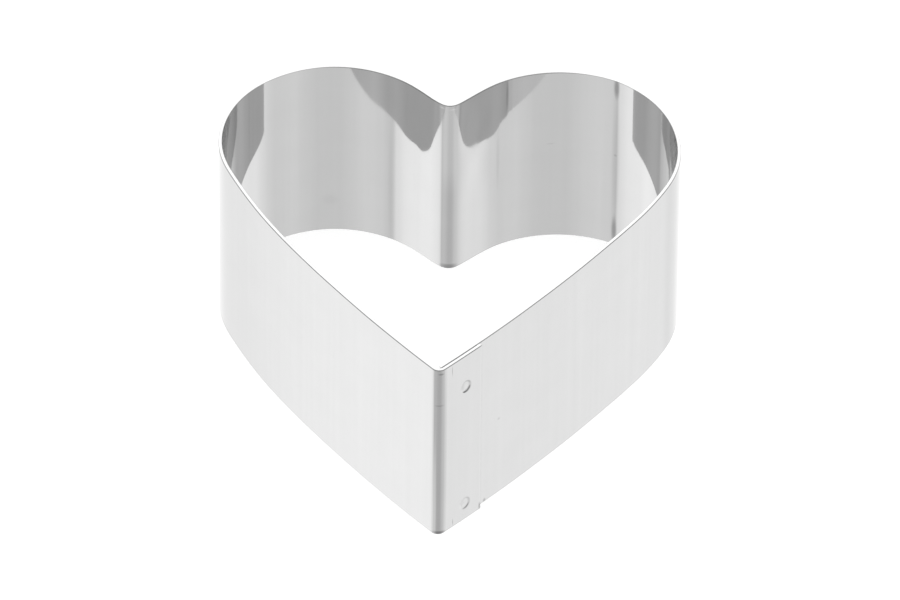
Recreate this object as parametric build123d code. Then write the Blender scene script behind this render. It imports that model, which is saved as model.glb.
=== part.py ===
# Heart-shaped cookie cutter: one bent strip of sheet steel, lapped beside the tip and held by two spot welds.
# Millimetres. +Z is up, the heart's tip points to -Y, and the origin is at the middle of the bottom.
import math
import os
from dataclasses import dataclass

from build123d import *

# Overall sizes, over the outer face
cutter_width = 88.0
cutter_length = 90.5
cutter_height = 40.0

# The strip
sheet_thickness = 0.7
rim_edge_radius = 0.14

# Bends, from the tip to the cleft between the lobes. The crown and lobe radii follow from the overall sizes.
tip_inside_radius = 0.2
side_radius = 350.0
left_shoulder_radius = 135.0
right_shoulder_radius = 68.0
cleft_radius = 1.7

# Where each side is widest, as shares of the length, and where its crown is, as shares of half the width
left_widest_share = 0.746
right_widest_share = 0.733
left_crown_share = 0.490
right_crown_share = 0.479

# Degrees that the sheet turns from the widest point: back to the shoulder, on to the crown's bend, and on to
# the straight flank that leads down into the cleft
shoulder_turn = 24.0
lobe_turn = 32.0
left_flank_turn = 133.8
right_flank_turn = 133.0

# The lap: the strip's left end goes round the tip and lies outside its right end
lap_length = 9.8
lap_gap = 0.1
inner_end_turn = 32.0

# Spot welds through the lap, with the electrode's round dent in each face
weld_diameter = 2.8
weld_flat_diameter = 1.6
weld_place_share = 0.556
upper_weld_drop = 7.5
lower_weld_rise = 4.0
outer_dent_depth = 0.14
inner_dent_depth = 0.07
dent_edge_sink = 0.015
cut_overrun = 1.0

# Worked out from the sizes above
half_width = cutter_width / 2
layer_step = sheet_thickness + lap_gap
tip_radius = tip_inside_radius + sheet_thickness + layer_step
lap_stack = sheet_thickness + layer_step
half_turn = math.degrees(math.pi)
full_turn = 2 * half_turn


@dataclass
class Bend:
    """An arc of the strip's outer face. The strip lies outside_sign * thickness nearer to the centre."""

    centre: Vector
    radius: float
    start: float
    end: float
    outside_sign: int = 1

    def mirrored(self):
        centre = Vector(-self.centre.X, self.centre.Y)
        return Bend(centre, self.radius, half_turn - self.end, half_turn - self.start, self.outside_sign)

    def arc(self, depth):
        radius = self.radius - self.outside_sign * depth
        return CenterArc(self.centre, radius, self.start, self.end - self.start)

    def point(self, depth, angle):
        return self.centre + (self.radius - self.outside_sign * depth) * direction(angle)


def direction(angle):
    return Vector(math.cos(math.radians(angle)), math.sin(math.radians(angle)))


def bearing(start, end):
    """The angle of the way from start to end."""
    return math.degrees(math.atan2(end.Y - start.Y, end.X - start.X))


def circle_crossing(centre_a, radius_a, centre_b, radius_b):
    """The crossing of two circles that lies to the left of the way from a to b."""
    way = centre_b - centre_a
    along = (radius_a**2 - radius_b**2 + way.length**2) / (2 * way.length)
    aside = math.sqrt(radius_a**2 - along**2)
    unit = way.normalized()
    return centre_a + along * unit + aside * Vector(-unit.Y, unit.X)


def line_crossing(angle_a, reach_a, angle_b, reach_b):
    """The crossing of two lines, each given by the angle of its normal and its distance from the origin."""
    normal_a = direction(angle_a)
    normal_b = direction(angle_b)
    spread = normal_a.X * normal_b.Y - normal_a.Y * normal_b.X
    across = (reach_a * normal_b.Y - reach_b * normal_a.Y) / spread
    up = (reach_b * normal_a.X - reach_a * normal_b.X) / spread
    return Vector(across, up)


tip_centre = Vector(0, tip_radius - cutter_length / 2)
crown_y = cutter_length / 2


def side_of_heart(wall_tip_radius, widest_share, crown_share, shoulder_radius, flank_turn):
    """The four bends of one side, drawn on the +X side: side, shoulder, lobe and crown."""
    widest_y = widest_share * cutter_length - cutter_length / 2
    crown_x = crown_share * half_width
    across = half_width - crown_x
    up = crown_y - widest_y
    sine = math.sin(math.radians(lobe_turn))
    cosine = math.cos(math.radians(lobe_turn))
    lobe_radius = (across * (1 - sine) - up * cosine) / (1 - sine - cosine)
    crown_radius = (up * (1 - cosine) - across * sine) / (1 - sine - cosine)
    lobe_centre = Vector(half_width - lobe_radius, widest_y)
    crown_centre = Vector(crown_x, crown_y - crown_radius)
    shoulder_centre = lobe_centre + (lobe_radius - shoulder_radius) * direction(-shoulder_turn)
    side_centre = circle_crossing(
        tip_centre, side_radius - wall_tip_radius, shoulder_centre, side_radius - shoulder_radius
    )
    side_start = bearing(side_centre, tip_centre)
    side_end = bearing(side_centre, shoulder_centre)
    return [
        Bend(side_centre, side_radius, side_start, side_end),
        Bend(shoulder_centre, shoulder_radius, side_end, -shoulder_turn),
        Bend(lobe_centre, lobe_radius, -shoulder_turn, lobe_turn),
        Bend(crown_centre, crown_radius, lobe_turn, flank_turn),
    ]


def cleft_reach(crown, flank_angle):
    """How far from the origin the cleft's centre lies, along the normal of one flank."""
    return direction(flank_angle).dot(crown.centre) + crown.radius + cleft_radius


# The left wall runs on round the tip as the outer layer, so the right wall starts one layer further in
left_bends = side_of_heart(
    tip_radius, left_widest_share, left_crown_share, left_shoulder_radius, left_flank_turn
)
right_bends = side_of_heart(
    tip_radius - layer_step, right_widest_share, right_crown_share, right_shoulder_radius, right_flank_turn
)
left_bends = [bend.mirrored() for bend in left_bends]

# The cleft's bend touches both flanks from above
left_crown = left_bends[-1]
right_crown = right_bends[-1]
left_normal = left_crown.start
right_normal = right_crown.end
cleft_centre = line_crossing(
    left_normal, cleft_reach(left_crown, left_normal), right_normal, cleft_reach(right_crown, right_normal)
)
cleft = Bend(cleft_centre, cleft_radius, half_turn + left_normal, half_turn + right_normal, -1)

# The two ends of the strip at the lap
right_side = right_bends[0]
left_side = left_bends[0]
lap_radius = side_radius + layer_step
lap_angle = math.degrees(lap_length / lap_radius)
lap = Bend(right_side.centre, lap_radius, right_side.start, right_side.start + lap_angle)
tip = Bend(tip_centre, tip_radius, left_side.end - full_turn, right_side.start)
inner_end = Bend(tip_centre, tip_radius - layer_step, right_side.start - inner_end_turn, right_side.start)


def strip_face(depth):
    """All the arcs and flanks of the strip at one depth below its outer face."""
    bends = [lap, tip, *left_bends, cleft, *right_bends, inner_end]
    left_flank = Line(left_crown.point(depth, left_normal), cleft.point(depth, cleft.start))
    right_flank = Line(right_crown.point(depth, right_normal), cleft.point(depth, cleft.end))
    return [bend.arc(depth) for bend in bends] + [left_flank, right_flank]


def strip_section():
    """The strip seen from above: its outer and inner faces, joined by its two square ends."""
    outer_cut = Line(lap.point(0, lap.end), lap.point(sheet_thickness, lap.end))
    inner_cut = Line(inner_end.point(0, inner_end.start), inner_end.point(sheet_thickness, inner_end.start))
    return Face(Wire([*strip_face(0), outer_cut, *strip_face(sheet_thickness), inner_cut]))


def follows_strip(edge):
    """True for a rim's long edges, and not for the two across the strip's square ends."""
    return edge.geom_type == GeomType.CIRCLE or edge.length > lap_stack


def weld_plane(height):
    """On the lap's outer face, with Z pointing into the heart."""
    angle = lap.start + weld_place_share * lap_angle
    place = lap.point(0, angle)
    return Plane(origin=(place.X, place.Y, height), x_dir=(0, 0, 1), z_dir=-direction(angle))


def weld_slug(plane):
    """The melted slug that joins both layers, dished at each face by an electrode."""
    rim = weld_diameter / 2
    flat = weld_flat_diameter / 2
    back_floor = lap_stack - inner_dent_depth
    back_edge = lap_stack - dent_edge_sink
    outline = Polyline(
        (0, outer_dent_depth),
        (flat, outer_dent_depth),
        (rim, dent_edge_sink),
        (rim, back_edge),
        (flat, back_floor),
        (0, back_floor),
        close=True,
    )
    profile = Plane.XZ * Face(Wire(outline.edges()))
    return plane * revolve(profile, Axis.Z)


def weld_hole(plane):
    depth = lap_stack + 2 * cut_overrun
    hole = Cylinder(weld_diameter / 2, depth, align=(Align.CENTER, Align.CENTER, Align.MIN))
    return plane * Pos(0, 0, -cut_overrun) * hole


def heart_band(weld_planes):
    strip = extrude(strip_section(), cutter_height, dir=(0, 0, 1))
    rims = strip.faces().filter_by(Axis.Z)
    band = fillet(rims.edges().filter_by(follows_strip), rim_edge_radius)
    for plane in weld_planes:
        band -= weld_hole(plane)
    return band


upper_plane = weld_plane(cutter_height - upper_weld_drop)
lower_plane = weld_plane(lower_weld_rise)
nodes = {
    "heart_band": heart_band([upper_plane, lower_plane]),
    "upper_spot_weld": weld_slug(upper_plane),
    "lower_spot_weld": weld_slug(lower_plane),
}

os.makedirs("parts", exist_ok=True)
for name, solid in nodes.items():
    solid.label = name
    export_step(solid, os.path.join("parts", name + ".step"))
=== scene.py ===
# A heart-shaped cookie cutter of bright sheet steel, standing on a white floor. Metres.
import math

import bpy
import numpy as np
from mathutils import Matrix, Vector


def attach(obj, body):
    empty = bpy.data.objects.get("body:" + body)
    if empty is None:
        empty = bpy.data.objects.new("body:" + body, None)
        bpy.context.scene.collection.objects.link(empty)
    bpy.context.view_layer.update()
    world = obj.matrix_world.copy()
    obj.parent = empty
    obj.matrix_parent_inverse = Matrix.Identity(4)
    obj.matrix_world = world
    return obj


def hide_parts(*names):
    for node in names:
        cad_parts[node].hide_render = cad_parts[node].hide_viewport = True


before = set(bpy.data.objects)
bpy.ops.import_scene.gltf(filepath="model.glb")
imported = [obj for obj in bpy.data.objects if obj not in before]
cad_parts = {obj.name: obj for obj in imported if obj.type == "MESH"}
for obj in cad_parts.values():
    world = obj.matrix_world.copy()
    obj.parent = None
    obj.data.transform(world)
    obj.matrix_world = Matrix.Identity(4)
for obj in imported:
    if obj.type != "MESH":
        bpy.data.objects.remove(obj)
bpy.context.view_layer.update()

MM = 0.001

# The strip's sizes, as in the frame's own band
WIDTH = 88.0 * MM
LENGTH = 90.5 * MM
HEIGHT = 40.0 * MM
SHEET = 0.7 * MM
LAP_GAP = 0.1 * MM
LAP_LENGTH = 9.8 * MM
TIP_INSIDE_RADIUS = 0.2 * MM
SIDE_RADIUS = 350.0 * MM
LEFT_SHOULDER_RADIUS = 135.0 * MM
RIGHT_SHOULDER_RADIUS = 68.0 * MM
LEFT_WIDEST_SHARE = 0.746
RIGHT_WIDEST_SHARE = 0.733
LEFT_CROWN_SHARE = 0.490
RIGHT_CROWN_SHARE = 0.479
SHOULDER_TURN = math.radians(24.0)
LOBE_TURN = math.radians(32.0)
LEFT_FLANK_TURN = math.radians(133.8)
RIGHT_FLANK_TURN = math.radians(133.0)
INNER_END_TURN = math.radians(32.0)
LAYER_STEP = SHEET + LAP_GAP
TIP_RADIUS = TIP_INSIDE_RADIUS + SHEET + LAYER_STEP
CROWN_Y = LENGTH / 2

# The fold between the lobes, a little wider than the frame's because its ends run softly into the flanks
CLEFT_RADIUS = 1.85 * MM

# Spot welds on the lap
WELD_DIAMETER = 3.0 * MM
WELD_PLACE_SHARE = 0.556
WELD_HEIGHTS = {"upper_spot_weld": HEIGHT - 7.5 * MM, "lower_spot_weld": 4.0 * MM}
WELD_DENT_SHARES = {"upper_spot_weld": 1.0, "lower_spot_weld": 0.75}
OUTER_DENT_DEPTH = 0.16 * MM
INNER_DENT_DEPTH = 0.07 * MM
DENT_SLOPE_WIDTH = 0.55 * MM
DENT_MARGIN = 0.25 * MM
WELD_CLEARANCE = 0.03 * MM

# A weld's floor: domed in the middle, with a lip at its rim that meets the sheet
WELD_DOME = 0.03 * MM
WELD_DOME_SPREAD = 1.3
WELD_LIP = 1.6 * WELD_CLEARANCE
WELD_LIP_SHARE = 0.72
WELD_RINGS = 9
WELD_SPOKES = 48

# Worn edges of the sheet, sharper on its inner face away from the fold
EDGE_RADIUS = 0.16 * MM
SHARP_EDGE_RADIUS = 0.06 * MM
FOLD_EDGE_REACH = 32 * MM
FOLD_EDGE_FADE = 12 * MM
EDGE_STEPS = 4
OUTER_SUPPORT_STEP = 0.033 * MM
INNER_SUPPORT_STEP = 0.03 * MM

# The small rounding of the strip's cut ends
END_INSET = 0.04 * MM
END_ROUNDING = 0.03 * MM

# How finely the strip is drawn
PATH_STEP = 0.1 * MM
COLUMN_STEP = 0.6 * MM
COLUMN_TURN = math.radians(2.0)
CREASE_STEP = 0.25 * MM
DENT_STEP = 0.11 * MM
SMALLEST_STEP = 0.03 * MM
FEWEST_PATH_STEPS = 6
FEWEST_COLUMN_STEPS = 2
CREASE_SPREAD = 6
WALL_ROWS = 21

# How far each bend runs into the next, at the fold and away from it
FOLD_BLEND = 0.6 * MM
WALL_BLEND = 1.5 * MM
BLEND_REACH = 8.0 * MM
BLEND_WINDOW = 3

# How far from the tip and the lap the wall is a free sheet, which blends and waves
TIP_MARGIN = 3 * MM
LAP_MARGIN = 4 * MM
FREE_FADE = 15 * MM

# Creases, where the bending rollers stopped: place along the strip, turn, reach and softness
CREASES = (
    (165.0 * MM, 0.020, 3.0 * MM, 0.4 * MM),
    (167.0 * MM, 0.015, 2.0 * MM, 0.2 * MM),
    (189.35 * MM, 0.100, 4.0 * MM, 1.0 * MM),
)

# Where the wall swells or sinks a little: place along the strip, height and half length
SWELLS = (
    (127.0 * MM, 0.08 * MM, 13.0 * MM),
    (153.5 * MM, -0.12 * MM, 8.0 * MM),
)

# Where the wall sinks slowly and comes back sharply: start, deepest place, end and depth
SINKS = ((120.0 * MM, 150.0 * MM, 153.0 * MM, 0.15 * MM),)

# Where the fold left the wall a little out of the upright: place along the strip, slope and half length
LEANS = (
    (147.0 * MM, -0.0170, 4.6 * MM),
    (157.0 * MM, 0.0200, 3.1 * MM),
    (160.8 * MM, -0.0190, 3.2 * MM),
)
LEAN_HEIGHT = 27.8 * MM
LEAN_REACH = 12 * MM

# Waves that rolling and bending left in the wall: length and steepest slope
WAVES = ((19.0 * MM, 0.004), (7.3 * MM, 0.002), (3.9 * MM, 0.0015))
WAVE_SEED = 7

# Where bending stretched the sheet dull and rougher, and where its colour is darkened as painted shade: all
# of the tip, and less of the fold, least near its top
BEND_FADE = 0.25 * MM
FOLD_SHARE = 0.75
FOLD_TOP_SHARE = 0.45
FOLD_DULL_AND_SHADE_HEIGHT = 26 * MM
FOLD_DULL_AND_SHADE_FADE = 9 * MM

# The camera, found from the photograph's rims and reflections
CAMERA_DISTANCE = 2.509
CAMERA_ELEVATION = math.radians(39.5125)
CAMERA_AZIMUTH = math.radians(1.3459)
CAMERA_ROLL = math.radians(0.569)
CAMERA_AIM = Vector((0.2975 * MM, 23.938 * MM, 0))
FOCAL_PIXELS = 13089.4
FRAME_PIXELS = 900
SENSOR = 36.0
CAMERA_NEAR = 0.1
CAMERA_FAR = 20
LIGHT_BOUNCES = 24


def unit(angle):
    return np.array((math.cos(angle), math.sin(angle)))


def bearing(start, end):
    return math.atan2(end[1] - start[1], end[0] - start[0])


def circle_crossing(centre_a, radius_a, centre_b, radius_b):
    """The crossing of two circles that lies to the left of the way from a to b."""
    way = centre_b - centre_a
    distance = np.linalg.norm(way)
    along = (radius_a**2 - radius_b**2 + distance**2) / (2 * distance)
    aside = math.sqrt(radius_a**2 - along**2)
    forward = way / distance
    return centre_a + along * forward + aside * np.array((-forward[1], forward[0]))


class Bend:
    """An arc of the strip's outer face, followed from angle first to angle last."""

    def __init__(self, centre, radius, first, last, outside=1):
        self.centre = np.array(centre, float)
        self.radius = radius
        self.first = first
        self.last = last
        self.outside = outside

    def mirrored(self):
        centre = (-self.centre[0], self.centre[1])
        return Bend(centre, self.radius, math.pi - self.first, math.pi - self.last, self.outside)

    def reversed(self):
        return Bend(self.centre, self.radius, self.last, self.first, self.outside)

    def length(self):
        return abs(self.last - self.first) * self.radius

    def turn(self):
        return abs(self.last - self.first)

    def point(self, share):
        """A place on the outer face, and the way out of the heart there."""
        out = unit(self.first + share * (self.last - self.first))
        return self.centre + self.radius * out, self.outside * out


class Flank:
    """A straight run of the strip's outer face."""

    def __init__(self, start, end, out):
        self.start = start
        self.end = end
        self.out = out

    def length(self):
        return float(np.linalg.norm(self.end - self.start))

    def turn(self):
        return 0.0

    def point(self, share):
        return self.start + share * (self.end - self.start), self.out


TIP_CENTRE = np.array((0.0, TIP_RADIUS - LENGTH / 2))


def side_of_heart(wall_tip_radius, widest_share, crown_share, shoulder_radius, flank_turn):
    """Side, shoulder, lobe and crown of the +X side, followed from the tip up."""
    widest_y = widest_share * LENGTH - LENGTH / 2
    crown_x = crown_share * WIDTH / 2
    across = WIDTH / 2 - crown_x
    up = CROWN_Y - widest_y
    sine = math.sin(LOBE_TURN)
    cosine = math.cos(LOBE_TURN)
    lobe_radius = (across * (1 - sine) - up * cosine) / (1 - sine - cosine)
    crown_radius = (up * (1 - cosine) - across * sine) / (1 - sine - cosine)
    lobe_centre = np.array((WIDTH / 2 - lobe_radius, widest_y))
    crown_centre = np.array((crown_x, CROWN_Y - crown_radius))
    shoulder_centre = lobe_centre + (lobe_radius - shoulder_radius) * unit(-SHOULDER_TURN)
    side_centre = circle_crossing(
        TIP_CENTRE, SIDE_RADIUS - wall_tip_radius, shoulder_centre, SIDE_RADIUS - shoulder_radius
    )
    side_first = bearing(side_centre, TIP_CENTRE)
    side_last = bearing(side_centre, shoulder_centre)
    return [
        Bend(side_centre, SIDE_RADIUS, side_first, side_last),
        Bend(shoulder_centre, shoulder_radius, side_last, -SHOULDER_TURN),
        Bend(lobe_centre, lobe_radius, -SHOULDER_TURN, LOBE_TURN),
        Bend(crown_centre, crown_radius, LOBE_TURN, flank_turn),
    ]


def cleft_centre_between(left_crown, right_crown):
    """The centre of the fold that touches both flanks from above."""
    normals, reaches = [], []
    for crown in (left_crown, right_crown):
        normal = unit(crown.last)
        normals.append(normal)
        reaches.append(normal @ crown.centre + crown.radius + CLEFT_RADIUS)
    return np.linalg.solve(normals, reaches)


def strip_runs():
    """All runs from the lap's outer end, clockwise seen from above, to the end inside the lap."""
    left = side_of_heart(
        TIP_RADIUS, LEFT_WIDEST_SHARE, LEFT_CROWN_SHARE, LEFT_SHOULDER_RADIUS, LEFT_FLANK_TURN
    )
    right = side_of_heart(
        TIP_RADIUS - LAYER_STEP,
        RIGHT_WIDEST_SHARE,
        RIGHT_CROWN_SHARE,
        RIGHT_SHOULDER_RADIUS,
        RIGHT_FLANK_TURN,
    )
    left = [bend.mirrored() for bend in left]
    left_crown = left[-1]
    right_crown = right[-1]
    centre = cleft_centre_between(left_crown, right_crown)
    left_out = unit(left_crown.last)
    right_out = unit(right_crown.last)
    cleft = Bend(centre, CLEFT_RADIUS, math.pi + left_crown.last, math.pi + right_crown.last, -1)
    left_flank = Flank(left_crown.point(1.0)[0], centre - CLEFT_RADIUS * left_out, left_out)
    right_flank = Flank(centre - CLEFT_RADIUS * right_out, right_crown.point(1.0)[0], right_out)
    side = right[0]
    lap_turn = LAP_LENGTH / (SIDE_RADIUS + LAYER_STEP)
    lap = Bend(side.centre, SIDE_RADIUS + LAYER_STEP, side.first + lap_turn, side.first)
    tip = Bend(TIP_CENTRE, TIP_RADIUS, side.first, left[0].first - math.tau)
    inner_end = Bend(TIP_CENTRE, TIP_RADIUS - LAYER_STEP, side.first, side.first - INNER_END_TURN)
    back = [bend.reversed() for bend in reversed(right)]
    return [lap, tip, *left, left_flank, cleft, right_flank, *back, inner_end]


RUNS = strip_runs()
LAP_RUN, TIP_RUN, CLEFT_RUN = 0, 1, 7
STARTS = np.concatenate(([0.0], np.cumsum([run.length() for run in RUNS])))
FOLD_MIDDLE = (STARTS[CLEFT_RUN] + STARTS[CLEFT_RUN + 1]) / 2
FREE_START = STARTS[TIP_RUN + 1] + TIP_MARGIN
FREE_END = STARTS[-2] - LAP_LENGTH - LAP_MARGIN

# The welds' places along the strip, on the lap's outer layer and on the layer inside it
WELD_ALONG = LAP_LENGTH * (1 - WELD_PLACE_SHARE)
WELD_ALONG_INSIDE = STARTS[-2] - WELD_PLACE_SHARE * LAP_LENGTH * SIDE_RADIUS / (SIDE_RADIUS + LAYER_STEP)
DENT_REACH = WELD_DIAMETER / 2 + DENT_MARGIN


def smooth(x):
    x = np.clip(x, 0, 1)
    return x * x * (3 - 2 * x)


def free_share(alongs):
    """0 at the lap and the tip, 1 where the wall is a single free sheet."""
    return smooth((alongs - FREE_START) / FREE_FADE) * smooth((FREE_END - alongs) / FREE_FADE)


def drawn_path():
    """Distances and places along the outer face as the runs give it, at most a path step apart."""
    alongs, points = [], []
    for run, start in zip(RUNS, STARTS):
        steps = max(math.ceil(run.length() / PATH_STEP), FEWEST_PATH_STEPS)
        for share in np.linspace(0, 1, steps + 1)[:-1]:
            alongs.append(start + share * run.length())
            points.append(run.point(share)[0])
    points.append(RUNS[-1].point(1.0)[0])
    return np.array(alongs + [STARTS[-1]]), np.array(points)


def blended(alongs, points):
    """The path with each bend running softly into the next."""
    away = np.clip(np.abs(alongs - FOLD_MIDDLE) / BLEND_REACH, 0, 1)
    widths = (FOLD_BLEND + (WALL_BLEND - FOLD_BLEND) * away) * free_share(alongs)
    steps = np.gradient(alongs)
    result = points.copy()
    for index in np.flatnonzero(widths > PATH_STEP):
        here, width = alongs[index], widths[index]
        reach = BLEND_WINDOW * width
        near = slice(*np.searchsorted(alongs, (here - reach, here + reach)))
        weight = steps[near] * np.exp(-(((alongs[near] - here) / width) ** 2) / 2)
        result[index] = weight @ points[near] / weight.sum()
    return result


def ways_out(points):
    """The way out of the heart at each place of a path that runs clockwise."""
    ways = np.gradient(points, axis=0)
    ways /= np.linalg.norm(ways, axis=1, keepdims=True)
    return np.column_stack((-ways[:, 1], ways[:, 0]))


def unevenness(alongs):
    """How far the sheet stands out of its smooth path, for its creases, swells and waves."""
    height = np.zeros(len(alongs))
    for place, turn, reach, softness in CREASES:
        distance = np.hypot(alongs - place, softness) - softness
        height += turn / 2 * reach * np.exp(-distance / reach)
    for place, swell, reach in SWELLS:
        height += swell * smooth(1 - np.abs(alongs - place) / reach)
    for start, deepest, end, depth in SINKS:
        going = smooth((alongs - start) / (deepest - start))
        coming = smooth((alongs - deepest) / (end - deepest))
        height -= depth * (going - coming)
    # the waves only go inwards, so that the sheet keeps its overall sizes
    chance = np.random.default_rng(WAVE_SEED)
    for length, slope in WAVES:
        wave = slope * length / math.tau
        phase = chance.uniform(0, math.tau)
        height += wave * free_share(alongs) * (np.sin(math.tau * alongs / length + phase) - 1)
    return height


def worn_path():
    """Distances, places and ways out along the outer face as it is drawn."""
    alongs, points = drawn_path()
    points = blended(alongs, points)
    points = points + ways_out(points) * unevenness(alongs)[:, None]
    return alongs, points, ways_out(points)


def thinned(values):
    """Sorted values, without those that stand too close to the one before."""
    kept = []
    for value in sorted(values):
        if not kept or value - kept[-1] > SMALLEST_STEP:
            kept.append(value)
    return np.array(kept)


def around(place, reach, step):
    return np.arange(place - reach, place + reach, step)


def column_places():
    """Where along the strip its columns of points stand, closer at bends, creases and welds."""
    places = []
    for run, start in zip(RUNS, STARTS):
        turn_steps = math.ceil(run.turn() / COLUMN_TURN)
        length_steps = math.ceil(run.length() / COLUMN_STEP)
        steps = max(turn_steps, length_steps, FEWEST_COLUMN_STEPS)
        places.extend(start + np.linspace(0, run.length(), steps + 1))
    for place, _, _, softness in CREASES:
        places.extend(around(place, CREASE_SPREAD * softness, CREASE_STEP))
    for place in (WELD_ALONG, WELD_ALONG_INSIDE):
        places.extend(around(place, DENT_REACH, DENT_STEP))
    places = thinned(places)
    places[-1] = STARTS[-1]
    return places


def wall_heights():
    """Heights of the wall's rows, fine at the welds, with one close to each rounded edge."""
    low = EDGE_RADIUS
    high = HEIGHT - EDGE_RADIUS
    rows = [*np.linspace(low, high, WALL_ROWS), low + OUTER_SUPPORT_STEP, high - OUTER_SUPPORT_STEP]
    for height in WELD_HEIGHTS.values():
        rows.extend(around(height, DENT_REACH, DENT_STEP))
    rows = thinned(rows)
    rows[-1] = high
    return rows


ROWS = wall_heights()


def inner_edge_radius(along):
    """The rounding of the inner edges, which is that of the outer ones near the fold."""
    near_fold = smooth((FOLD_EDGE_REACH - abs(along - FOLD_MIDDLE)) / FOLD_EDGE_FADE)
    return SHARP_EDGE_RADIUS + (EDGE_RADIUS - SHARP_EDGE_RADIUS) * near_fold


def inner_rows(edge_radius):
    """The rows of the inner face, whose outermost two at each rim follow its edge radius."""
    rows = ROWS.copy()
    ends = np.array((edge_radius, edge_radius + INNER_SUPPORT_STEP))
    rows[:2] = ends
    rows[-2:] = HEIGHT - ends[::-1]
    return rows


def section(inset, inner_edge):
    """Round the strip's section: depth, height, 1 on the inner face, and 1 on the flat of a rim."""
    radius = EDGE_RADIUS - inset
    inner_radius = inner_edge - inset
    turns = np.linspace(0, math.pi / 2, EDGE_STEPS + 1)
    low, high = EDGE_RADIUS, HEIGHT - EDGE_RADIUS
    inner_low, inner_high = inner_edge, HEIGHT - inner_edge
    near, far = EDGE_RADIUS, SHEET - inner_edge
    depth, height, side, rim = [], [], [], []

    def add(depths, heights, side_value, rim_at=None):
        depth.extend(depths)
        height.extend(heights)
        side.extend([side_value] * len(depths))
        flat = [0.0] * len(depths)
        if rim_at is not None:
            flat[rim_at] = 1.0
        rim.extend(flat)

    add(np.full(len(ROWS), inset), ROWS, 0)
    add(near - radius * np.cos(turns[1:]), high + radius * np.sin(turns[1:]), 0, -1)
    add(far + inner_radius * np.sin(turns[:-1]), inner_high + inner_radius * np.cos(turns[:-1]), 1, 0)
    add(np.full(len(ROWS), SHEET - inset), inner_rows(inner_edge)[::-1], 1)
    add(far + inner_radius * np.cos(turns[1:]), inner_low - inner_radius * np.sin(turns[1:]), 1, -1)
    add(near - radius * np.sin(turns[:-1]), low - radius * np.cos(turns[:-1]), 0, 0)
    return [np.array(values) for values in (depth, height, side, rim)]


def dent(along, height, place):
    """How deep an electrode has pressed the sheet, from 0 outside its mark to 1 on its floor."""
    pressed = 0.0
    for name, centre_height in WELD_HEIGHTS.items():
        distance = np.hypot(along - place, height - centre_height)
        slope = smooth((WELD_DIAMETER / 2 - distance) / DENT_SLOPE_WIDTH)
        pressed = np.maximum(pressed, WELD_DENT_SHARES[name] * slope)
    return pressed


def pressed_depth(along, depth, height):
    """Depths of one column's points after the electrodes have dented both faces of the lap."""
    outer = dent(along, height, WELD_ALONG) * (OUTER_DENT_DEPTH + WELD_CLEARANCE)
    inner = dent(along, height, WELD_ALONG_INSIDE) * (INNER_DENT_DEPTH + WELD_CLEARANCE)
    on_outer_face = depth < EDGE_RADIUS / 2
    on_inner_face = depth > SHEET - EDGE_RADIUS / 2
    return depth + np.where(on_outer_face, outer, 0) - np.where(on_inner_face, inner, 0)


def lean(along, height):
    """How far out the wall stands where the fold left it leaning, fading above and below."""
    slope = sum(slope * smooth(1 - abs(along - place) / reach) for place, slope, reach in LEANS)
    rise = height - LEAN_HEIGHT
    return slope * rise * smooth(1 - np.abs(rise) / LEAN_REACH)


def bend_share(along, height):
    """1 at the sharp bend round the tip and less in the fold, where the sheet is stretched dull and its
    colour darkened as painted shade.
    """
    shares = []
    for first in (TIP_RUN, CLEFT_RUN):
        middle = (STARTS[first] + STARTS[first + 1]) / 2
        half_length = (STARTS[first + 1] - STARTS[first]) / 2
        shares.append(smooth((half_length + BEND_FADE - abs(along - middle)) / half_length))
    tip_share, fold_share = shares
    lower = smooth((FOLD_DULL_AND_SHADE_HEIGHT - height) / FOLD_DULL_AND_SHADE_FADE)
    by_height = FOLD_TOP_SHARE + (1 - FOLD_TOP_SHARE) * lower
    return np.maximum(tip_share, fold_share * FOLD_SHARE * by_height)


def strip_columns():
    """Every column's distance along, place, way out and inset, with the two cut ends rounded."""
    alongs, points, outs = worn_path()
    places = column_places()
    where = np.column_stack([np.interp(places, alongs, points[:, axis]) for axis in (0, 1)])
    out = np.column_stack([np.interp(places, alongs, outs[:, axis]) for axis in (0, 1)])
    out /= np.linalg.norm(out, axis=1, keepdims=True)
    columns = [[*values, 0.0] for values in zip(places, where, out)]
    for end, sign in ((0, 1), (-1, -1)):
        along, point, way, _ = columns[end]
        forward = np.array((way[1], -way[0])) * sign
        columns[end][1] = point + forward * END_ROUNDING
        cap = [along, point, way, END_INSET]
        columns.insert(0 if end == 0 else len(columns), cap)
    return columns


def band_mesh():
    """The bent strip as one closed mesh of quads, with rounded edges and the electrodes' dents."""
    columns = strip_columns()
    verts, along_values, side_values, bend_values, rim_values = [], [], [], [], []
    for along, point, out, inset in columns:
        depth, height, side, rim = section(inset, inner_edge_radius(along))
        if inset == 0.0:
            depth = pressed_depth(along, depth, height)
        reach = lean(along, height) - depth
        place = point[None, :] + out[None, :] * reach[:, None]
        verts.extend(np.column_stack((place, height)))
        along_values.extend([along] * len(depth))
        side_values.extend(side)
        bend_values.extend(bend_share(along, height))
        rim_values.extend(rim)
    count = len(side)
    faces = []
    last_column = (len(columns) - 1) * count
    for here in range(0, last_column, count):
        there = here + count
        for step in range(count):
            after = (step + 1) % count
            faces.append((here + step, there + step, there + after, here + after))
    faces += end_cap(0, count, False)
    faces += end_cap(last_column, count, True)
    mesh = bpy.data.meshes.new("heart_band")
    mesh.from_pydata([tuple(vert) for vert in verts], [], faces)
    store(mesh, "along", along_values)
    store(mesh, "inside", side_values)
    store(mesh, "bend", bend_values)
    store(mesh, "rim", rim_values)
    mesh.validate()
    mesh.update()
    mesh.shade_smooth()
    return mesh


def store(mesh, name, values):
    attribute = mesh.attributes.new(name, "FLOAT", "POINT")
    attribute.data.foreach_set("value", np.array(values, float))


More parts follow.
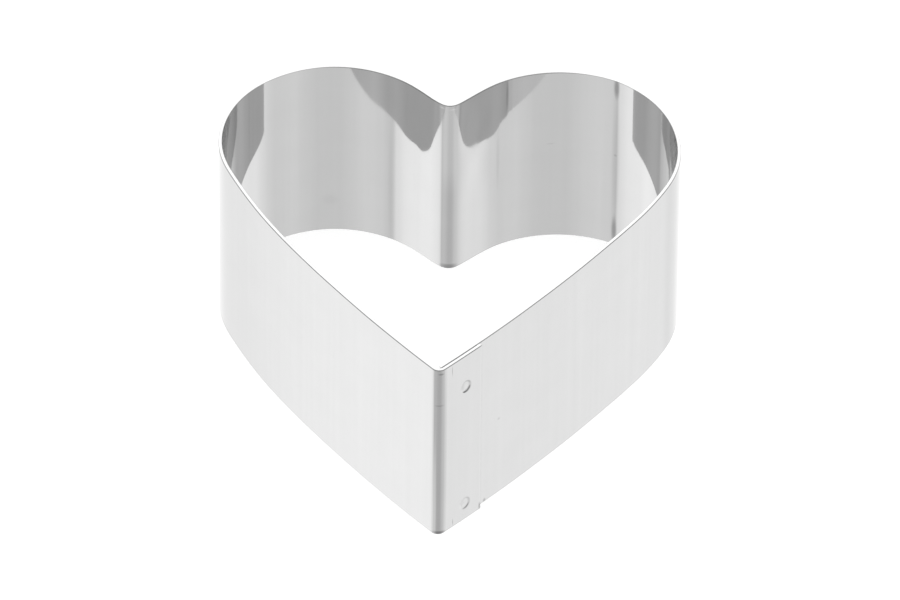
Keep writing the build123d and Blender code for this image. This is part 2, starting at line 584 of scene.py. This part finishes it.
def end_cap(start, count, flip):
    """Quads across the strip's cut end, between points at the same height on its two faces."""
    # the ring starts at the foot of the outer face and runs up it, over the rim and down the inner face
    top = len(ROWS) + EDGE_STEPS
    faces = []
    for step in range(top - 1):
        faces.append((step, step + 1, 2 * top - 2 - step, 2 * top - 1 - step))
    for step in range(EDGE_STEPS):
        faces.append(((-step - 1) % count, -step % count, 2 * top - 1 + step, 2 * top + step))
    faces = [tuple(start + corner for corner in face) for face in faces]
    if flip:
        faces = [tuple(reversed(face)) for face in faces]
    return faces


def weld_profile(dent_share):
    """The weld's two dished faces, as distance from its axis and depth from the lap's outer face."""
    floor_reach = WELD_DIAMETER / 2 - DENT_SLOPE_WIDTH
    stack = 2 * SHEET + LAP_GAP
    outer, inner = [], []
    for share in np.linspace(0, 1, WELD_RINGS):
        reach = share * floor_reach
        dome = WELD_DOME * (1 - smooth(share * WELD_DOME_SPREAD))
        lip = WELD_LIP * smooth((share - WELD_LIP_SHARE) / (1 - WELD_LIP_SHARE))
        outer.append((reach, OUTER_DENT_DEPTH * dent_share - dome + lip))
        inner.append((reach, stack - INNER_DENT_DEPTH * dent_share + dome / 2 - lip))
    return outer + inner[::-1]


def weld_mesh(name, height):
    """A slug turned about the weld's axis, dished and slightly domed at both faces."""
    point, out = RUNS[LAP_RUN].point(WELD_ALONG / LAP_LENGTH)
    level = np.array((-out[1], out[0], 0))
    out = np.array((*out, 0))
    upright = np.array((0, 0, 1))
    centre = np.array((*point, height))
    profile = weld_profile(WELD_DENT_SHARES[name])
    verts = [centre - out * profile[0][1]]
    for reach, depth in profile[1:-1]:
        for turn in np.linspace(0, math.tau, WELD_SPOKES, endpoint=False):
            spoke = level * math.cos(turn) + upright * math.sin(turn)
            verts.append(centre - out * depth + spoke * reach)
    verts.append(centre - out * profile[-1][1])
    faces = []
    last = len(verts) - 1
    rings = len(profile) - 2
    for step in range(WELD_SPOKES):
        after = (step + 1) % WELD_SPOKES
        faces.append((0, 1 + step, 1 + after))
        for ring in range(rings - 1):
            here = 1 + ring * WELD_SPOKES
            there = here + WELD_SPOKES
            faces.append((here + step, there + step, there + after, here + after))
        edge = 1 + (rings - 1) * WELD_SPOKES
        faces.append((edge + step, last, edge + after))
    mesh = bpy.data.meshes.new(name)
    mesh.from_pydata([tuple(vert) for vert in verts], [], faces)
    mesh.validate()
    mesh.update()
    mesh.shade_smooth()
    return mesh


def node(tree, kind, **values):
    made = tree.nodes.new(kind)
    for name, value in values.items():
        if hasattr(made, name):
            setattr(made, name, value)
        else:
            made.inputs[name].default_value = value
    return made


def math_node(tree, operation, *inputs):
    """One Math node: each input is another node's output or a number."""
    made = node(tree, "ShaderNodeMath", operation=operation)
    for socket, value in zip(made.inputs, inputs):
        plug(tree, socket, value)
    return made.outputs[0]


def plug(tree, socket, value):
    if isinstance(value, bpy.types.NodeSocket):
        tree.links.new(value, socket)
    else:
        socket.default_value = value


def ramp_between(tree, value, start, end, low, high):
    """Goes softly from low to high while value goes from start to end."""
    made = node(tree, "ShaderNodeMapRange", interpolation_type="SMOOTHSTEP")
    for socket, given in zip(made.inputs, (value, start, end, low, high)):
        plug(tree, socket, given)
    return made.outputs[0]


def mixed(tree, share, first, second):
    """The first value where the share is 0, and the second where it is 1."""
    made = node(tree, "ShaderNodeMix", data_type="FLOAT")
    for socket, value in zip((made.inputs[0], made.inputs[2], made.inputs[3]), (share, first, second)):
        plug(tree, socket, value)
    return made.outputs[0]


def attribute(tree, name):
    return node(tree, "ShaderNodeAttribute", attribute_name=name).outputs["Fac"]


def scaled(tree, vector, scale, shift=(0, 0, 0)):
    made = node(tree, "ShaderNodeVectorMath", operation="MULTIPLY_ADD")
    tree.links.new(vector, made.inputs[0])
    made.inputs[1].default_value = scale
    made.inputs[2].default_value = shift
    return made.outputs[0]


def noise(tree, vector, scale, detail=2.0):
    """Noise from 0 to 1, with its own scale in each direction, per unit of the vector."""
    made = node(tree, "ShaderNodeTexNoise", Scale=1.0, Detail=detail)
    tree.links.new(scaled(tree, vector, scale), made.inputs["Vector"])
    return made.outputs["Fac"]


# Rubbed and scratched places, and painted shade and highlight on the crease at 189 mm and round the tip's
# bend: millimetres along and up, half length, half height, 1 on the inner face, and how much darker, or
# under zero brighter, the place is
MARKS = (
    # these three darken the crease at 189 mm at its top, middle and foot: painted shade
    (189.35, 38.4, 0.90, 3.6, 1, 0.42),
    (189.45, 20.0, 1.2, 24.0, 1, 0.10),
    (189.3, 3.4, 0.85, 4.6, 1, 0.38),
    (139.3, 13.0, 0.70, 19.0, 1, 0.05),
    (166.95, 36.2, 0.40, 5.8, 1, 0.30),
    (164.9, 21.5, 0.55, 9.5, 1, 0.07),
    (126.7, 7.4, 2.4, 1.8, 1, 0.035),
    (189.3, 21.9, 0.5, 0.4, 1, 0.15),
    (176.0, 22.6, 1.2, 0.22, 1, 0.07),
    (8.00, 38.4, 0.12, 1.6, 0, 0.40),
    (7.55, 1.3, 0.12, 1.1, 0, 0.40),
    (11.0, 31.4, 1.3, 0.20, 0, 0.25),
    (10.7, 39.0, 0.8, 0.30, 0, 0.35),
    # this one darkens the foot of the tip's bend: painted shadow
    (11.0, 0.45, 1.8, 0.55, 0, 0.45),
    (279.5, 18.2, 0.5, 0.40, 0, 0.15),
    (153.55, 0.5, 1.8, 0.9, 1, 0.35),
    (0.3, 0.9, 0.45, 1.3, 0, 0.35),
    (9.75, 20.0, 0.6, 36.0, 0, 0.12),
    # this one lightens a strip low on the tip's bend: painted highlight
    (11.85, 6.0, 0.5, 22.0, 0, -0.25),
    (283.3, 0.55, 0.5, 0.6, 0, 0.35),
    (152.4, 39.2, 0.9, 0.22, 1, -0.25),
    (154.1, 39.0, 0.8, 0.18, 1, -0.20),
)

# A mark has its full strength over this share of its reach
MARK_CORE = 0.2

# How far the inner face's patterns lie aside of the outer face's, in millimetres
INSIDE_STEP = 10.0


def strip_place(tree):
    """A vector on the strip in millimetres: along, up, and one step aside on the inner face."""
    axes = node(tree, "ShaderNodeSeparateXYZ")
    tree.links.new(node(tree, "ShaderNodeTexCoord").outputs["Object"], axes.inputs[0])
    place = node(tree, "ShaderNodeCombineXYZ")
    plug(tree, place.inputs["X"], math_node(tree, "MULTIPLY", attribute(tree, "along"), 1 / MM))
    plug(tree, place.inputs["Y"], math_node(tree, "MULTIPLY", axes.outputs["Z"], 1 / MM))
    plug(tree, place.inputs["Z"], math_node(tree, "MULTIPLY", attribute(tree, "inside"), INSIDE_STEP))
    return place.outputs[0]


def rubbed_and_shaded(tree, place):
    """How much darker, or under zero brighter, the marks, painted shade and painted highlight make each
    place.
    """
    total = None
    for along, up, half_length, half_height, inside, strength in MARKS:
        scale = (1 / half_length, 1 / half_height, 1.0)
        shift = (-along / half_length, -up / half_height, -INSIDE_STEP * inside)
        distance = node(tree, "ShaderNodeVectorMath", operation="LENGTH")
        tree.links.new(scaled(tree, place, scale, shift), distance.inputs[0])
        mark = ramp_between(tree, distance.outputs["Value"], 1.0, MARK_CORE, 0.0, strength)
        total = mark if total is None else math_node(tree, "ADD", total, mark)
    return total


# The sheet's level and roughness, the paler level on the flat of its rims, which is a painted highlight,
# and how much of the sheet's level its sharpest bend takes away as painted shade
STEEL_LEVEL = 0.575
STEEL_ROUGHNESS = 0.045
RIM_HIGHLIGHT_LEVEL = 0.88
BEND_PAINTED_SHADE = 0.28

# The sheet's patterns: scale along, up and aside, per millimetre, and how many finer layers each has
SHEET_PATTERNS = {
    "bands": ((0.55, 0.012, 1.0), 3.0),
    "clouds": ((0.10, 0.14, 1.0), 2.0),
    "lines": ((0.05, 11.0, 1.0), 2.0),
    "hairs": ((0.9, 7.0, 1.0), 4.0),
}
HAIR_START, HAIR_FULL = 0.70, 0.80

# What each pattern or place adds to the sheet's level and to its roughness
SHEET_LEVELS = {"bands": 0.030, "clouds": 0.025, "lines": 0.012, "hairs": -0.030}
SHEET_ROUGHNESSES = {"clouds": 0.03, "lines": 0.015, "hairs": 0.06, "bend": 0.10, "rub_and_shade": 0.25, "rim": 0.20}
SHEET_BUMP = 0.15
SHEET_BUMP_HEIGHT = 0.002 * MM

# The same for the welds, whose patterns have one scale in all directions
WELD_PATTERNS = {"grain": (3.0 / MM, 4.0), "clouds": (0.8 / MM, 2.0)}
WELD_LEVEL = STEEL_LEVEL - 0.08
WELD_LEVELS = {"grain": 0.10, "clouds": 0.10}
WELD_ROUGHNESS = 0.16
WELD_ROUGHNESSES = {"grain": 0.15}
WELD_BUMP = 0.3
WELD_BUMP_HEIGHT = 0.01 * MM


def with_added(tree, start, patterns, amounts):
    """A starting value, and on it each named pattern times its amount."""
    total = start
    for name, amount in amounts.items():
        total = math_node(tree, "MULTIPLY_ADD", patterns[name], amount, total)
    return total


def bumped(tree, shader, height, strength, distance):
    bump = node(tree, "ShaderNodeBump", Strength=strength, Distance=distance)
    plug(tree, bump.inputs["Height"], height)
    tree.links.new(bump.outputs[0], shader.inputs["Normal"])


def sheet_steel():
    """Bright rolled sheet: faint upright bands, clouds, fine rolling lines, scratches and rubbed marks,
    with painted shade at its bends and crease and a painted highlight on the flat of its rims.
    """
    material, tree, shader = new_steel("stainless_steel")
    place = strip_place(tree)
    patterns = {name: noise(tree, place, *values) for name, values in SHEET_PATTERNS.items()}
    patterns["hairs"] = ramp_between(tree, patterns["hairs"], HAIR_START, HAIR_FULL, 0.0, 1.0)
    patterns["bend"] = attribute(tree, "bend")
    patterns["rim"] = attribute(tree, "rim")
    patterns["rub_and_shade"] = rubbed_and_shaded(tree, place)
    level = with_added(tree, STEEL_LEVEL - SHEET_LEVELS["bands"], patterns, SHEET_LEVELS)
    # the bends take away part of the sheet's level: painted shade
    bend_shade_factor = math_node(tree, "MULTIPLY_ADD", patterns["bend"], -BEND_PAINTED_SHADE, 1.0)
    level = math_node(tree, "MULTIPLY", level, bend_shade_factor)
    # the marks darken or lighten the sheet: rubs and scratches, and painted shade and highlight at the
    # crease and the tip
    level = math_node(tree, "MULTIPLY", level, math_node(tree, "SUBTRACT", 1.0, patterns["rub_and_shade"]))
    # the flat of each rim gets a paler colour: painted highlight
    level = mixed(tree, patterns["rim"], level, RIM_HIGHLIGHT_LEVEL)
    tree.links.new(level, shader.inputs["Base Color"])
    smoothest = STEEL_ROUGHNESS - SHEET_ROUGHNESSES["clouds"] / 2
    tree.links.new(with_added(tree, smoothest, patterns, SHEET_ROUGHNESSES), shader.inputs["Roughness"])
    height = math_node(tree, "MULTIPLY_ADD", patterns["hairs"], -1.0, patterns["lines"])
    bumped(tree, shader, height, SHEET_BUMP, SHEET_BUMP_HEIGHT)
    return material


def weld_steel():
    """Pressed and heated steel: duller, with fine grain and clouds."""
    material, tree, shader = new_steel("weld_steel")
    place = node(tree, "ShaderNodeTexCoord").outputs["Object"]
    patterns = {
        name: noise(tree, place, (scale, scale, scale), detail)
        for name, (scale, detail) in WELD_PATTERNS.items()
    }
    tree.links.new(with_added(tree, WELD_LEVEL, patterns, WELD_LEVELS), shader.inputs["Base Color"])
    roughness = with_added(tree, WELD_ROUGHNESS, patterns, WELD_ROUGHNESSES)
    tree.links.new(roughness, shader.inputs["Roughness"])
    bumped(tree, shader, patterns["grain"], WELD_BUMP, WELD_BUMP_HEIGHT)
    return material


def new_steel(name):
    material = bpy.data.materials.new(name)
    material.use_nodes = True
    tree = material.node_tree
    shader = tree.nodes["Principled BSDF"]
    shader.inputs["Metallic"].default_value = 1.0
    return material, tree, shader


def add_piece(name, mesh, replaced, material):
    piece = bpy.data.objects.new(name, mesh)
    bpy.context.scene.collection.objects.link(piece)
    piece.data.materials.append(material)
    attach(piece, "root")
    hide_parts(replaced)


def cutter():
    add_piece("heart_band_sheet", band_mesh(), "heart_band", sheet_steel())
    weld_material = weld_steel()
    for name, height in WELD_HEIGHTS.items():
        add_piece(name + "_dish", weld_mesh(name, height), name, weld_material)


# The room's brightness low down, by degrees round from the front by way of the right
LOW_LIGHT = (
    (0, 0.925),
    (20, 0.93),
    (50, 1.035),
    (66, 1.005),
    (98, 1.275),
    (112, 1.28),
    (127, 1.23),
    (136, 1.11),
    (180, 1.20),
    (222, 1.20),
    (262, 1.42),
    (272, 1.365),
    (284, 1.33),
    (296, 1.19),
    (301.5, 0.90),
    (306, 0.95),
    (314, 1.02),
    (325, 1.045),
    (360, 0.925),
)

# Its brightness above that and straight below, and that of its dark walls to the sides and in front
HIGH_LIGHT = 1.20
UNDER_LIGHT = 0.75
DARK_WALLS = 0.25
DARK_FRONT = 0.45

# Between which upward shares of a direction the room changes: straight below, to the upper light, into the
# dark walls and out of them overhead
BELOW_FADE = (-0.95, -0.72)
HIGH_FADE = (-0.40, -0.15)
DARK_FADE = (-0.34, -0.10)
OVERHEAD_FADE = (0.80, 0.93)

# Between which turns away from the front the dark begins higher, gets darker, and ends
FRONT_RAISE = 0.25
RAISE_TURNS = (math.radians(45), math.radians(85))
SHADE_TURNS = (math.radians(60), math.radians(100))
BEHIND_TURNS = (math.radians(120), math.radians(145))


def low_light(tree, turn_share):
    """The brightness that the upright walls mirror, by the way round."""
    ramp = node(tree, "ShaderNodeValToRGB")
    ramp.color_ramp.interpolation = "EASE"
    elements = ramp.color_ramp.elements
    elements.remove(elements[1])
    for degrees, level in LOW_LIGHT:
        stop = elements[0] if degrees == 0 else elements.new(degrees / 360)
        stop.position = degrees / 360
        stop.color = (level, level, level, 1)
    tree.links.new(turn_share, ramp.inputs[0])
    return ramp.outputs[0]


def world_light():
    """A pale table and ceiling with a light behind, brighter to the left, between dark walls."""
    world = bpy.data.worlds.new("studio")
    bpy.context.scene.world = world
    world.use_nodes = True
    tree = world.node_tree
    axes = node(tree, "ShaderNodeSeparateXYZ")
    tree.links.new(node(tree, "ShaderNodeTexCoord").outputs["Generated"], axes.inputs[0])
    across, back, up = axes.outputs
    front = math_node(tree, "MULTIPLY", back, -1.0)
    # the turn is zero to the front, and grows by way of the right
    turn = math_node(tree, "ARCTAN2", across, front)
    turn_share = math_node(tree, "FRACT", math_node(tree, "MULTIPLY_ADD", turn, 1 / math.tau, 1.0))
    level = low_light(tree, turn_share)
    level = mixed(tree, ramp_between(tree, up, *BELOW_FADE, 1.0, 0.0), level, UNDER_LIGHT)
    level = mixed(tree, ramp_between(tree, up, *HIGH_FADE, 0.0, 1.0), level, HIGH_LIGHT)
    sideways = math_node(tree, "ABSOLUTE", turn)
    not_behind = ramp_between(tree, sideways, *BEHIND_TURNS, 1.0, 0.0)
    # in front the dark begins lower down, at the table's edge
    raised = math_node(tree, "ADD", up, ramp_between(tree, sideways, *RAISE_TURNS, FRONT_RAISE, 0.0))
    above = ramp_between(tree, raised, *DARK_FADE, 0.0, 1.0)
    not_overhead = ramp_between(tree, up, *OVERHEAD_FADE, 1.0, 0.0)
    dark = math_node(tree, "MULTIPLY", math_node(tree, "MULTIPLY", not_behind, above), not_overhead)
    shade = ramp_between(tree, sideways, *SHADE_TURNS, DARK_FRONT, DARK_WALLS)
    level = mixed(tree, dark, level, shade)
    seen = node(tree, "ShaderNodeLightPath").outputs["Is Camera Ray"]
    tree.links.new(mixed(tree, seen, level, 1.0), tree.nodes["Background"].inputs["Strength"])
    tree.nodes["Background"].inputs["Color"].default_value = (1, 1, 1, 1)


# The floor reaches this far each way, just below the cutter's foot, and glows only where the camera sees it
FLOOR_REACH = 3.0
FLOOR_DROP = 0.02 * MM
FLOOR_COLOUR = 0.9
FLOOR_GLOW = 0.70


def floor_stage():
    """A large floor that keeps the object's soft shadow and is white where it is open."""
    mesh = bpy.data.meshes.new("floor")
    corners = [(x * FLOOR_REACH, y * FLOOR_REACH, 0) for x, y in ((-1, -1), (1, -1), (1, 1), (-1, 1))]
    mesh.from_pydata(corners, [], [(0, 1, 2, 3)])
    floor = bpy.data.objects.new("floor", mesh)
    floor.location.z = -FLOOR_DROP
    bpy.context.scene.collection.objects.link(floor)
    material = bpy.data.materials.new("white_floor")
    material.use_nodes = True
    tree = material.node_tree
    tree.nodes.remove(tree.nodes["Principled BSDF"])
    diffuse = node(tree, "ShaderNodeBsdfDiffuse")
    diffuse.inputs["Color"].default_value = (FLOOR_COLOUR, FLOOR_COLOUR, FLOOR_COLOUR, 1)
    glow = node(tree, "ShaderNodeEmission")
    seen = node(tree, "ShaderNodeLightPath").outputs["Is Camera Ray"]
    plug(tree, glow.inputs["Strength"], math_node(tree, "MULTIPLY", seen, FLOOR_GLOW))
    total = node(tree, "ShaderNodeAddShader")
    tree.links.new(diffuse.outputs[0], total.inputs[0])
    tree.links.new(glow.outputs[0], total.inputs[1])
    tree.links.new(total.outputs[0], tree.nodes["Material Output"].inputs["Surface"])
    floor.data.materials.append(material)
    floor.visible_glossy = False


def camera():
    data = bpy.data.cameras.new("camera")
    made = bpy.data.objects.new("camera", data)
    bpy.context.scene.collection.objects.link(made)
    data.sensor_width = SENSOR
    data.lens = FOCAL_PIXELS / FRAME_PIXELS * SENSOR
    flat = Vector((math.sin(CAMERA_AZIMUTH), -math.cos(CAMERA_AZIMUTH), 0))
    back = flat * math.cos(CAMERA_ELEVATION) + Vector((0, 0, math.sin(CAMERA_ELEVATION)))
    level = Vector((math.cos(CAMERA_AZIMUTH), math.sin(CAMERA_AZIMUTH), 0))
    upright = back.cross(level)
    cosine = math.cos(CAMERA_ROLL)
    sine = math.sin(CAMERA_ROLL)
    right = level * cosine + upright * sine
    up = upright * cosine - level * sine
    place = CAMERA_AIM + back * CAMERA_DISTANCE
    made.matrix_world = Matrix((
        (right.x, up.x, back.x, place.x),
        (right.y, up.y, back.y, place.y),
        (right.z, up.z, back.z, place.z),
        (0, 0, 0, 1),
    ))
    data.clip_start = CAMERA_NEAR
    data.clip_end = CAMERA_FAR
    bpy.context.scene.camera = made


cutter()
world_light()
floor_stage()
camera()
bpy.context.scene.view_settings.view_transform = "Standard"
# light goes round the lobes in many small steps
bpy.context.scene.cycles.max_bounces = LIGHT_BOUNCES
bpy.context.scene.cycles.glossy_bounces = LIGHT_BOUNCES
